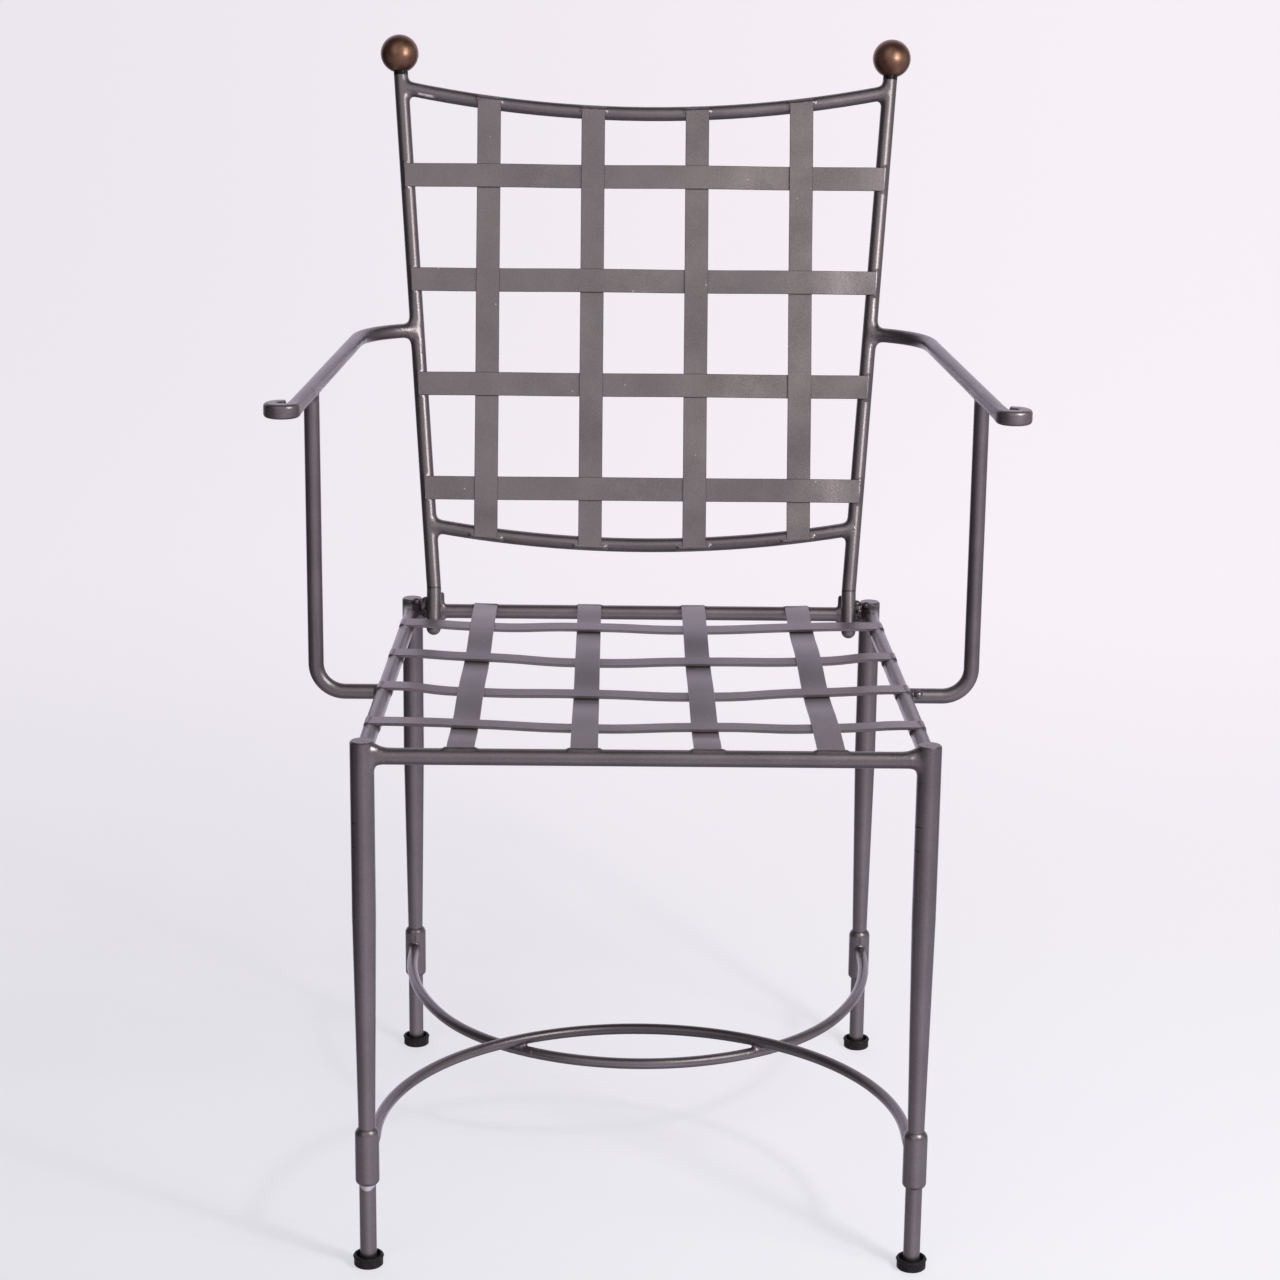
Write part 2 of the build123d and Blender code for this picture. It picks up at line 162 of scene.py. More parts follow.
def pewter(name, dark, light, roughness=0.36, scored_and_shaded=None, bare_and_highlit=None, lumps=0.0):
    """Dark metallic paint: cloudy tone, fine grain, flakes and a slight orange peel.

    Where they are given, the scored mask darkens scratches, dark joint lines and painted shade,
    the bare mask shows metal rubbed free of paint and painted highlights, and lumps is how strongly a
    rough ground shows through.
    """
    material, field, shader, place = new_finish(name)
    cloud = noise(field, place, 26.0, detail=3.0)
    grain = noise(field, place, 900.0, roughness=0.6)
    flake = noise(field, place, 2300.0, detail=0.0)
    peel = noise(field, place, 380.0, detail=1.0)
    tone = cloud.between(0.3, 0.7) * 0.5 + grain.between(0.3, 0.7) * 0.5
    colour = blend(field, tone, dark, light)
    colour = blend(field, flake.between(0.66, 0.78) * 0.35, colour, FLAKE_SILVER)
    if scored_and_shaded:
        colour = blend(field, scored_and_shaded(field, place), colour, SCORE_AND_SHADE_BLACK)
    if bare_and_highlit:
        colour = blend(field, bare_and_highlit(field, place), colour, BARE_AND_HIGHLIGHT_STEEL)
    uneven = roughness + (cloud - 0.5) * 0.14 + (grain - 0.5) * 0.16
    bump = relief(field, peel * 0.6 + grain * 0.4, strength=0.2, depth=0.0004)
    if lumps:
        bump = relief(field, noise(field, place, 240.0), lumps, depth=0.0015, ground=bump)
    field.feed(shader, {"Base Color": colour, "Roughness": uneven, "Normal": bump, "Metallic": 0.88})
    return material


def dress(names, material):
    for name in names:
        slots = nodes[name].data.materials
        slots.clear()
        slots.append(material)


def middle_of(name, axis):
    """The middle of a piece of the frame along one axis."""
    return sum(corner[axis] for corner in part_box(name)) / 2


# The height, half width and darkness of each ring, and how far it goes round.
RINGS = ((0.4172, 0.0006, 0.7), (0.3768, 0.0007, 1.0), (0.3572, 0.0006, 0.8))
RING_CORE = 0.0002
RING_REACH = (-0.0078, -0.0025)
RING_DARKEST = 0.85


def rings(leg_x):
    """Fine dark rings part of the way round a front leg, on its left."""

    def mask(field, place):
        x, z = axes(field, place, "XZ")
        marks = 0.0
        for height, half_width, darkness in RINGS:
            marks = z.near(height, RING_CORE, half_width) * darkness + marks
        return marks * (x - leg_x).between(*RING_REACH, RING_DARKEST, 0.0)

    return mask


ENDS = ("front_left", "front_right", "rear_left", "rear_right")
FRONT_ENDS, REAR_ENDS = ENDS[:2], ENDS[2:]
FRAME_DARK = (0.142, 0.125, 0.131, 1)
FRAME_LIGHT = (0.188, 0.167, 0.174, 1)
LEG_X = {end: middle_of(f"{end}_leg", 0) for end in ENDS}
LEG_Y = {end: middle_of(f"{end}_leg", 1) for end in ENDS}
frame_paint = pewter("frame_pewter", FRAME_DARK, FRAME_LIGHT)
for end in FRONT_ENDS:
    scored_paint = pewter(f"{end}_leg_pewter", FRAME_DARK, FRAME_LIGHT, scored_and_shaded=rings(LEG_X[end]))
    dress([f"{end}_leg"], scored_paint)
dress([f"{end}_leg" for end in REAR_ENDS], frame_paint)

# Collars and pegs: a turned sleeve over the joint of each leg, and the thinner round end below it.
# Both are steel, sprayed together with the leg.
# Under the front left collar the spray has missed a crescent of the peg.
CRESCENT_HEIGHT = (0.0664, 0.0674)
CRESCENT_CURVE = 75.0
CRESCENT_DEPTH = 0.0020
CRESCENT_BARE = 0.5


def missed_crescent(field, place):
    x, y, z = axes(field, place, "XYZ")
    aside = x - LEG_X["front_left"]
    front = (y - LEG_Y["front_left"]).between(-CRESCENT_DEPTH, 0.0, 1.0, 0.0)
    return front * (z - aside * aside * CRESCENT_CURVE).between(*CRESCENT_HEIGHT) * CRESCENT_BARE


missed_paint = pewter("front_left_peg_pewter", FRAME_DARK, FRAME_LIGHT, bare_and_highlit=missed_crescent)
dress([f"{end}_collar" for end in ENDS], frame_paint)
dress([f"{end}_peg" for end in ENDS if end != "front_left"], frame_paint)
dress(["front_left_peg"], missed_paint)

# Foot caps: moulded rubber cups pushed over the pegs, matt black-brown and a little dusty.
# Grit from the floor is pressed into them.
RUBBER_DARK = (0.006, 0.005, 0.005, 1)
RUBBER_LIGHT = (0.014, 0.011, 0.012, 1)
GRIT = (0.10, 0.09, 0.09, 1)


def cap_rubber():
    material, field, shader, place = new_finish("foot_rubber")
    cloud = noise(field, place, 160.0, detail=3.0)
    grain = noise(field, place, 1500.0, detail=1.0)
    grit = noise(field, place, 900.0, detail=0.0)
    colour = blend(field, cloud.between(0.35, 0.7), RUBBER_DARK, RUBBER_LIGHT)
    colour = blend(field, grit.between(0.70, 0.78) * 0.6, colour, GRIT)
    uneven = 0.6 + (cloud - 0.5) * 0.25
    bump = relief(field, grain, strength=0.3, depth=0.0003)
    field.feed(shader, {"Base Color": colour, "Roughness": uneven, "Normal": bump})
    field.feed(shader, {"Specular IOR Level": 0.22})
    return material


dress([f"{end}_foot_cap" for end in ENDS], cap_rubber())

# Seat rails: four round steel rods, coped and welded between the legs.
# They carry the woven seat on their tops and take the frame's paint.
RAIL_Z = middle_of("front_seat_rail", 2)
ROD = 0.0132
dress([f"{side}_seat_rail" for side in ("front", "rear", "left", "right")], frame_paint)

# Seat corner welds: beads run round each rail where it meets a leg and dressed to a hollow.
# They are steel under the same paint, a little rougher than the rods.
WELD_ROUGHNESS = 0.34
WELD_LUMPS = 0.25
weld_paint = pewter("weld_pewter", FRAME_DARK, FRAME_LIGHT, WELD_ROUGHNESS, lumps=WELD_LUMPS)

# One pass of smoothing on the weld grid adds EASE_STEP to the square of its spread, in metres.
# A bead's hollow comes out EASE_SHARE times as wide as that spread.
WELD_GRID = 0.0009
EASE_SHARE = 1.95
EASE_STEP = 6.6e-8
BAR_SIDES = 40
BAR_SINK = 0.00005


def facing(place, direction):
    """A transform to a place, with the Z axis turned along a direction."""
    return Matrix.Translation(place) @ direction.to_track_quat("Z", "Y").to_matrix().to_4x4()


def bar(shell, start, end, diameter, fillet):
    """A short round bar, grown by what the smoothing of a fillet takes off again."""
    start, end = Vector(start), Vector(end)
    run = end - start
    radius = math.hypot(diameter / 2 - BAR_SINK, fillet / EASE_SHARE)
    bmesh.ops.create_cone(
        shell,
        cap_ends=True,
        segments=BAR_SIDES,
        radius1=radius,
        radius2=radius,
        depth=run.length,
        matrix=facing((start + end) / 2, run),
    )


def piece_of(name, shell, material):
    """A new piece on the chair's one body, from a finished bmesh."""
    mesh = bpy.data.meshes.new(name)
    shell.to_mesh(mesh)
    shell.free()
    for face in mesh.polygons:
        face.use_smooth = True
    mesh.materials.append(material)
    piece = bpy.data.objects.new(name, mesh)
    bpy.context.scene.collection.objects.link(piece)
    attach(piece, "root")
    return piece


def weld(name, shell, fillet, grid=WELD_GRID, material=weld_paint):
    """Grows crossing bars together, so that only a hollow bead stands out between the real ones."""
    piece = piece_of(name, shell, material)
    grow = piece.modifiers.new("grow", "REMESH")
    grow.mode = "VOXEL"
    grow.voxel_size = grid
    grow.use_smooth_shade = True
    ease = piece.modifiers.new("ease", "SMOOTH")
    ease.factor = 0.5
    ease.iterations = round((fillet / EASE_SHARE) ** 2 / (EASE_STEP * (grid / WELD_GRID) ** 2))
    return piece


# Painted highlights: two soft bright spots painted on the front corner welds.
HIGHLIGHT_SPOTS = ((-0.2108, -0.3018, 0.4368), (0.2062, -0.3018, 0.4336))
HIGHLIGHT_RADII = (0.0004, 0.0026)
HIGHLIGHT_STRENGTH = 0.6


def painted_highlights(field, place):
    """Two painted highlights: soft bright spots on the welds at the front corners."""
    marks = 0.0
    for spot in HIGHLIGHT_SPOTS:
        away = field.make("ShaderNodeVectorMath", {"operation": "DISTANCE"}, {0: place, 1: spot}, "Value")
        marks = away.between(*HIGHLIGHT_RADII, HIGHLIGHT_STRENGTH, 0.0) + marks
    return marks


corner_highlight_paint = pewter(
    "corner_weld_highlight_pewter", FRAME_DARK, FRAME_LIGHT, WELD_ROUGHNESS, bare_and_highlit=painted_highlights, lumps=WELD_LUMPS
)
LEG = 0.019
LEG_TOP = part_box("front_left_leg")[1][2]
CORNER_FILLET = 0.0060
LEG_STUMP = 0.032
LEG_TOP_CLEAR = 0.0003
RAIL_STUMP = 0.036
WEB = 0.0104
WEB_REACH = 0.017
WEB_TOP = Vector((0, 0, 0.0085))
WEB_FOOT = Vector((0, 0, 0.0009))
shell = bmesh.new()
for end, other in zip(ENDS, REAR_ENDS + FRONT_ENDS):
    corner = Vector((LEG_X[end], LEG_Y[end], RAIL_Z))
    leg_low = corner - Vector((0, 0, LEG_STUMP))
    bar(shell, leg_low, (corner.x, corner.y, LEG_TOP - LEG_TOP_CLEAR), LEG, CORNER_FILLET)
    end_rail = Vector((-math.copysign(RAIL_STUMP, corner.x), 0, 0))
    side_run = Vector((LEG_X[other], LEG_Y[other], RAIL_Z)) - corner
    for rail in (end_rail, side_run.normalized() * RAIL_STUMP):
        bar(shell, corner, corner + rail, ROD, CORNER_FILLET)
        web_end = corner + rail.normalized() * WEB_REACH + WEB_FOOT
        bar(shell, corner + WEB_TOP, web_end, WEB, CORNER_FILLET)
weld("seat_corner_welds", shell, CORNER_FILLET, material=corner_highlight_paint)

# Seat straps: flat steel bar, woven over and under into a shallow dish and welded to the rails.
# Their broad faces are painted a little lighter than the rods, as painted light where they catch more of
# it, with a few specks knocked bare.
KNOCKS_PER_METRE = 62.0
KNOCK_RADII = (0.025, 0.06)
KNOCK_BARE = 0.4


def knocks(field, place):
    spread = field.make("ShaderNodeTexVoronoi", None, {"Vector": place, "Scale": KNOCKS_PER_METRE})
    return spread.between(*KNOCK_RADII, KNOCK_BARE, 0.0)


STRAPS = range(1, 5)
# The strap colours are the frame's paint made lighter, as painted light on the broad faces.
STRAP_LIT_DARK = (0.152, 0.132, 0.137, 1)
STRAP_LIT_LIGHT = (0.200, 0.177, 0.182, 1)
strap_paint = pewter("strap_pewter", STRAP_LIT_DARK, STRAP_LIT_LIGHT, roughness=0.38, bare_and_highlit=knocks)
dress([f"seat_strap_{number}" for number in STRAPS], strap_paint)
dress([f"seat_cross_strap_{number}" for number in STRAPS], strap_paint)

# Seat strap welds: each strap end is run down to its rail in a bead that stands a little above it.
# Under the cross straps a second bead fills the corner at the inner side of the rail.
# All are steel, sprayed with the frame.
STRAP_PITCH = 0.096
STRAP_X = {number: STRAP_PITCH * (number - sum(STRAPS) / len(STRAPS)) for number in STRAPS}
FRONT_Y = LEG_Y["front_left"]
REAR_Y = LEG_Y["rear_left"]
CROSS_FRONT_Y = FRONT_Y + 0.077
CROSS_REAR_Y = REAR_Y - 0.070
END_FILLET = 0.0024
END_GRID = 0.0007
END_STUMP = 0.019
END_BEAD = 0.0050
FRONT_BEAD_HALF = 0.0130
NARROW_BEAD_HALF = 0.0112
FRONT_BEAD_UP = Vector((0, 0, 0.0056))
REAR_BEAD_UP = Vector((0, 0, 0.0050))
TOP_BEAD = Vector((0.0030, 0, 0.0054))
INNER_BEAD = Vector((-0.0056, 0, 0.0018))


def spaced(first, last, number):
    """The place of a numbered strap, with all of them evenly spaced from the first to the last."""
    return first + (last - first) * (number - 1) / (len(STRAPS) - 1)


def mirrored(place, side):
    return Vector((side * place.x, place.y, place.z))


def side_rail(side, y):
    """A point on the middle of a side rail."""
    share = (y - FRONT_Y) / (REAR_Y - FRONT_Y)
    x = LEG_X["front_right"] + (LEG_X["rear_right"] - LEG_X["front_right"]) * share
    return Vector((side * x, y, RAIL_Z))


shell = bmesh.new()
for number in STRAPS:
    for y, bead_half, rise in (
        (FRONT_Y, FRONT_BEAD_HALF, FRONT_BEAD_UP),
        (REAR_Y, NARROW_BEAD_HALF, REAR_BEAD_UP),
    ):
        middle = Vector((STRAP_X[number], y, RAIL_Z))
        stump = Vector((END_STUMP, 0, 0))
        bar(shell, middle - stump, middle + stump, ROD, END_FILLET)
        reach = Vector((bead_half, 0, 0))
        bar(shell, middle + rise - reach, middle + rise + reach, END_BEAD, END_FILLET)
    y = spaced(CROSS_FRONT_Y, CROSS_REAR_Y, number)
    for side in (-1, 1):
        bar(shell, side_rail(side, y - END_STUMP), side_rail(side, y + END_STUMP), ROD, END_FILLET)
        for bead in (TOP_BEAD, INNER_BEAD):
            front = side_rail(side, y - NARROW_BEAD_HALF) + mirrored(bead, side)
            rear = side_rail(side, y + NARROW_BEAD_HALF) + mirrored(bead, side)
            bar(shell, front, rear, END_BEAD, END_FILLET)
weld("seat_strap_welds", shell, END_FILLET, END_GRID)

# Back frame: stubs welded to the rear rail, uprights that lean back, and two drooping rails between.
# All are round steel rod in the frame's paint. Near the left upright the top rail is rubbed bright.
# Under each ball the top of the upright is darkened as painted shade, and the joint above each stub shows
# as a dark line.
LEAN = math.radians(14.5)
TOP_RAIL_MID = 0.464
STUB_SEAM = 0.024
UP = Vector((0, math.sin(LEAN), math.cos(LEAN)))
FORWARD = Vector((0, -math.cos(LEAN), math.sin(LEAN)))
BACK_FOOT = Vector((0, REAR_Y - ROD / math.cos(LEAN), RAIL_Z))
FOOT_UP = BACK_FOOT.dot(UP)
FOOT_FORWARD = BACK_FOOT.dot(FORWARD)
UPRIGHT_TOP = max(vertex.co.dot(UP) for vertex in nodes["left_back_upright"].data.vertices)
STREAK_START = (-0.2110, -0.2080)
STREAK_END = (-0.1990, -0.1925)
STREAK_BELOW_MID = 0.0040
STREAK_HALF = (0.0005, 0.0016)
STREAK_FRONT = 0.002
RAIL_DROOP = 0.446
BALL_SHADE_BAND = (-0.0050, -0.0040)
SEAM_ABOVE = 0.0008
SEAM_HALF = (0.0004, 0.0012)
SEAM_DARKNESS = 0.6


def distance_along(field, place, direction):
    return field.make(
        "ShaderNodeVectorMath", {"operation": "DOT_PRODUCT"}, {0: place, 1: direction}, "Value"
    )


def rubbed_streak(field, place):
    """A patchy line along the front of the top rail, which droops by the square of the distance."""
    [x] = axes(field, place, "X")
    level = distance_along(field, place, UP) - x * x * RAIL_DROOP
    forward = distance_along(field, place, FORWARD)
    streak = x.between(*STREAK_START) * x.between(*STREAK_END, 1.0, 0.0)
    patchy = noise(field, place, 330.0, detail=1.0).between(0.38, 0.56, 0.25, 1.0)
    below_middle = level.near(FOOT_UP + TOP_RAIL_MID - STREAK_BELOW_MID, *STREAK_HALF)
    return streak * patchy * below_middle * forward.between(FOOT_FORWARD, FOOT_FORWARD + STREAK_FRONT)


# Painted shade under each ball, and the dark line of the joint above each stub.
def shade_and_joint_lines(field, place):
    up = distance_along(field, place, UP)
    ball_joint = up.between(*[UPRIGHT_TOP + down for down in BALL_SHADE_BAND])
    return ball_joint + up.near(FOOT_UP + STUB_SEAM + SEAM_ABOVE, *SEAM_HALF) * SEAM_DARKNESS


upright_paint = pewter("upright_pewter", FRAME_DARK, FRAME_LIGHT, scored_and_shaded=shade_and_joint_lines)
top_rail_paint = pewter("top_rail_pewter", FRAME_DARK, FRAME_LIGHT, bare_and_highlit=rubbed_streak)
dress(["left_back_stub", "right_back_stub", "back_bottom_rail"], frame_paint)
dress(["left_back_upright", "right_back_upright"], upright_paint)
dress(["back_top_rail"], top_rail_paint)

# Back rail welds: the rails are coped to the uprights, and a steel bead is run round each end.
# It is dressed to a wide hollow and sprayed with the frame.
SPLAY = math.tan(math.radians(4.15))
STUB_X = 0.1916
RAIL_BOW = 1.130
BOTTOM_RAIL_MID = 0.0656
BACK_RAIL = 0.0130
BACK_FILLET = 0.0055
UPRIGHT_STUMP = 0.030


def on_back(x, height, forward=0.0):
    """A point of the back: across, up the leaning plane and forward of it."""
    return BACK_FOOT + Vector((x, 0, 0)) + UP * height + FORWARD * forward


def upright_x(height):
    return STUB_X + (height - STUB_SEAM) * SPLAY


def rail_height(middle, x):
    return middle + RAIL_BOW - math.sqrt(RAIL_BOW**2 - x**2)


def upright_bar(shell, side, height, half, diameter, fillet, out=0.0, forward=0.0):
    """A bar along an upright, or outside and forward of it."""
    heights = (height - half, height + half)
    ends = [on_back(side * (upright_x(up) + out), up, forward) for up in heights]
    bar(shell, *ends, diameter, fillet)


def rail_bar(shell, middle, start_x, end_x, diameter, fillet, over=0.0, forward=0.0):
    """A bar along a back rail, or above and forward of it."""
    ends = [on_back(x, rail_height(middle, x) + over, forward) for x in (start_x, end_x)]
    bar(shell, *ends, diameter, fillet)


shell = bmesh.new()
for middle in (TOP_RAIL_MID, BOTTOM_RAIL_MID):
    end_x = upright_x(rail_height(middle, upright_x(middle)))
    for side in (-1, 1):
        upright_bar(shell, side, rail_height(middle, end_x), UPRIGHT_STUMP, ROD, BACK_FILLET)
        rail_bar(shell, middle, side * end_x, side * (end_x - RAIL_STUMP), BACK_RAIL, BACK_FILLET)
weld("back_rail_welds", shell, BACK_FILLET)

# Back foot welds: each stub is tacked to the front of the rear rail, with a tab behind its inner side.
# Between stub and leg the steel is left rough, painted dark as painted shade in the deep recess, and
# stands for the plain lump of the frame.
FOOT_FILLET = 0.003
STUB_LOW = -0.011
STUB_HIGH = STUB_SEAM - 0.002
FOOT_OUTER = Vector((STUB_X + 0.010, REAR_Y, RAIL_Z))
FOOT_INNER = Vector((STUB_X - 0.022, REAR_Y, RAIL_Z))
TAB = 0.0056
TAB_X = STUB_X - 0.0066
TAB_LOW = Vector((TAB_X, REAR_Y - 0.004, 0.4150))
TAB_HIGH = Vector((TAB_X, REAR_Y - 0.001, 0.4480))
shell = bmesh.new()
for side in (-1, 1):
    bar(shell, on_back(side * STUB_X, STUB_LOW), on_back(side * STUB_X, STUB_HIGH), ROD, FOOT_FILLET)
    bar(shell, mirrored(FOOT_OUTER, side), mirrored(FOOT_INNER, side), ROD, FOOT_FILLET)
    bar(shell, mirrored(TAB_LOW, side), mirrored(TAB_HIGH, side), TAB, FOOT_FILLET)
weld("back_foot_welds", shell, FOOT_FILLET)

# How far each lump lies outwards, back and up from the middle of its weld, and its radius.
ROUGH_LUMPS = (
    (0.0000, 0.0035, 0.0045, 0.0056),
    (-0.0022, 0.0022, -0.0030, 0.0052),
    (0.0026, 0.0030, -0.0010, 0.0044),
    (-0.0010, 0.0040, 0.0080, 0.0040),
    (0.0014, 0.0000, 0.0024, 0.0034),
    (0.0072, -0.0012, 0.0086, 0.0034),
    (0.0098, 0.0002, 0.0068, 0.0028),
)
ROUGH_FILLET = 0.0012
ROUGH_GRID = 0.0006
# The rough weld's colours are far darker than the frame's paint, as painted shade of the recess between
# stub and leg.
ROUGH_SHADE_DARK = (0.040, 0.034, 0.036, 1)
ROUGH_SHADE_LIGHT = (0.120, 0.106, 0.110, 1)
SIDES = ((-1, "left"), (1, "right"))
rough_shaded_paint = pewter("rough_weld_shaded_pewter", ROUGH_SHADE_DARK, ROUGH_SHADE_LIGHT, roughness=0.30, lumps=0.9)
for side, name in SIDES:
    low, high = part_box(f"{name}_back_weld")
    middle = (Vector(low) + Vector(high)) / 2
    shell = bmesh.new()
    for outwards, back, up, radius in ROUGH_LUMPS:
        place = Matrix.Translation(middle + Vector((side * outwards, back, up)))
        bmesh.ops.create_icosphere(shell, subdivisions=3, radius=radius, matrix=place)
    lump = weld(f"{name}_rough_weld", shell, ROUGH_FILLET, ROUGH_GRID, rough_shaded_paint)
    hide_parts(f"{name}_back_weld")

# Back straps: the same flat steel bar as the seat, woven flat and welded to the front of the back frame.
# The upright ones are cut off near the middle of their rails, and stand for the longer ones of the frame.
TOP_OVER = 0.0010
BOTTOM_OVER = 0.0030
STRAP_CREASE = math.radians(30)
MERGE_GAP = 1e-6
CUT_GAP = 1e-7
back_strap_paint = pewter("back_strap_pewter", STRAP_LIT_DARK, STRAP_LIT_LIGHT, roughness=0.29, bare_and_highlit=knocks)


def close_holes(shell):
    bmesh.ops.holes_fill(shell, edges=[edge for edge in shell.edges if edge.is_boundary])


def trimmed(name, *cuts):
    """A copy of a piece of the frame, cut off flat past each place."""
    plain = nodes[name].data.copy()
    plain.attributes.remove(plain.attributes["custom_normal"])
    shell = bmesh.new()
    shell.from_mesh(plain)
    bpy.data.meshes.remove(plain)
    bmesh.ops.remove_doubles(shell, verts=shell.verts, dist=MERGE_GAP)
    for place, outward in cuts:
        whole = shell.verts[:] + shell.edges[:] + shell.faces[:]
        bmesh.ops.bisect_plane(
            shell, geom=whole, dist=CUT_GAP, plane_co=place, plane_no=outward, clear_outer=True
        )
        close_holes(shell)
    return shell


for number in STRAPS:
    x = STRAP_X[number]
    top = on_back(x, rail_height(TOP_RAIL_MID, x) + TOP_OVER)
    bottom = on_back(x, rail_height(BOTTOM_RAIL_MID, x) - BOTTOM_OVER)
    shell = trimmed(f"back_strap_{number}", (top, UP), (bottom, -UP))
    strap = piece_of(f"back_strap_{number}_cut", shell, back_strap_paint)
    strap.data.set_sharp_from_angle(angle=STRAP_CREASE)
    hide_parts(f"back_strap_{number}")
dress([f"back_cross_strap_{number}" for number in STRAPS], back_strap_paint)

# Back strap welds: a steel bead over the end of each strap, drawn out along the rail or the upright.
# Below, the beads are wider than the straps. All are sprayed with the frame.
CROSS_LOW = BOTTOM_RAIL_MID + 0.0512
CROSS_HIGH = TOP_RAIL_MID - 0.0592
BACK_BEAD = 0.0046
BACK_BEAD_HALF = 0.0120
LOW_BEAD_HALF = 0.0150
BEAD_OUT = 0.0012
BEAD_FORWARD = 0.0052
shell = bmesh.new()
for number in STRAPS:
    x = STRAP_X[number]
    for middle, over, half in (
        (TOP_RAIL_MID, TOP_OVER, BACK_BEAD_HALF),
        (BOTTOM_RAIL_MID, -BOTTOM_OVER, LOW_BEAD_HALF),
    ):
        rail_bar(shell, middle, x - END_STUMP, x + END_STUMP, BACK_RAIL, END_FILLET)
        rail_bar(shell, middle, x - half, x + half, BACK_BEAD, END_FILLET, over, BEAD_FORWARD)
    height = spaced(CROSS_LOW, CROSS_HIGH, number)
    for side in (-1, 1):
        upright_bar(shell, side, height, END_STUMP, ROD, END_FILLET)
        upright_bar(
            shell, side, height, BACK_BEAD_HALF, BACK_BEAD, END_FILLET, BEAD_OUT, BEAD_FORWARD
        )
weld("back_strap_welds", shell, END_FILLET, END_GRID)

# Finials: solid balls, patinated to an antique bronze and screwed to the tops of the uprights.
# Handling has left them smooth, with darker clouds in the brown.
BRONZE_DARK = (0.098, 0.050, 0.034, 1)
BRONZE_LIGHT = (0.255, 0.145, 0.096, 1)


def bronze():
    material, field, shader, place = new_finish("finial_bronze")
    cloud = noise(field, place, 70.0, detail=4.0)
    grain = noise(field, place, 900.0)
    tone = cloud.between(0.3, 0.72) * 0.75 + grain.between(0.3, 0.7) * 0.25
    colour = blend(field, tone, BRONZE_DARK, BRONZE_LIGHT)
    uneven = 0.32 + (cloud - 0.5) * 0.2
    bump = relief(field, grain, strength=0.15, depth=0.0003)
    field.feed(shader, {"Base Color": colour, "Roughness": uneven, "Normal": bump, "Metallic": 0.85})
    return material


dress(["left_finial", "right_finial"], bronze())
dress(["left_finial_stud", "right_finial_stud"], frame_paint)

# Arms and arm posts: round steel rod, the posts bent inwards below and welded to the side rails.
# The arms leave the uprights in a wide bend, run forward and are curled at the tip.
# With that bend they stand for the more sharply bent arms of the frame.
ARM = 0.0130
ARM_Z = 0.6835
ARM_BEND = 0.070
ARM_SPLAY = math.radians(3.05)
ARM_CREASE = math.radians(35)
ARM_SIDES = 48
BEND_STEPS = 36
POST_X = 0.2734
POST_Y = FRONT_Y + 0.187
ARM_HEIGHT = (ARM_Z - RAIL_Z) / math.cos(LEAN)
ARM_ROOT = on_back(upright_x(ARM_HEIGHT), ARM_HEIGHT)
ARM_OUTWARD = Vector((math.cos(ARM_SPLAY), math.sin(ARM_SPLAY), 0))
ARM_BACKWARD = Vector((-math.sin(ARM_SPLAY), math.cos(ARM_SPLAY), 0))
ARM_STAND = (Vector((POST_X, POST_Y, ARM_Z)) - ARM_ROOT).dot(ARM_OUTWARD)
ROOT_TURN = math.asin(1 - ARM_STAND / ARM_BEND) - ARM_SPLAY
ROOT_HEADING = Vector((math.cos(ROOT_TURN), -math.sin(ROOT_TURN), 0))
BEND_TURN = math.pi / 2 - ARM_SPLAY - ROOT_TURN
BEND_MIDDLE = ARM_ROOT - ARM_BEND * Vector((math.sin(ROOT_TURN), math.cos(ROOT_TURN), 0))


def on_bend(side, turned):
    """A point of an arm's bend, by how far the rod has turned since its root."""
    turn = ROOT_TURN + turned
    return mirrored(BEND_MIDDLE + ARM_BEND * Vector((math.sin(turn), math.cos(turn), 0)), side)


for side, name in SIDES:
    shell = trimmed(f"{name}_arm", (on_bend(side, BEND_TURN), mirrored(ARM_BACKWARD, side)))
    disc = bmesh.ops.create_circle(
        shell,
        cap_ends=True,
        segments=ARM_SIDES,
        radius=ARM / 2,
        matrix=facing(on_bend(side, 0), mirrored(ROOT_HEADING, side)),
    )
    face = disc["verts"][0].link_faces[0]
    bmesh.ops.spin(
        shell,
        geom=[face, *face.edges, *face.verts],
        cent=mirrored(BEND_MIDDLE, side),
        axis=(0, 0, 1),
        angle=-side * BEND_TURN,
        steps=BEND_STEPS,
    )
    close_holes(shell)
    bmesh.ops.recalc_face_normals(shell, faces=shell.faces)
    arm = piece_of(f"{name}_wide_arm", shell, frame_paint)
    arm.data.set_sharp_from_angle(angle=ARM_CREASE)
    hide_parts(f"{name}_arm")
dress(["left_arm_post", "right_arm_post"], frame_paint)

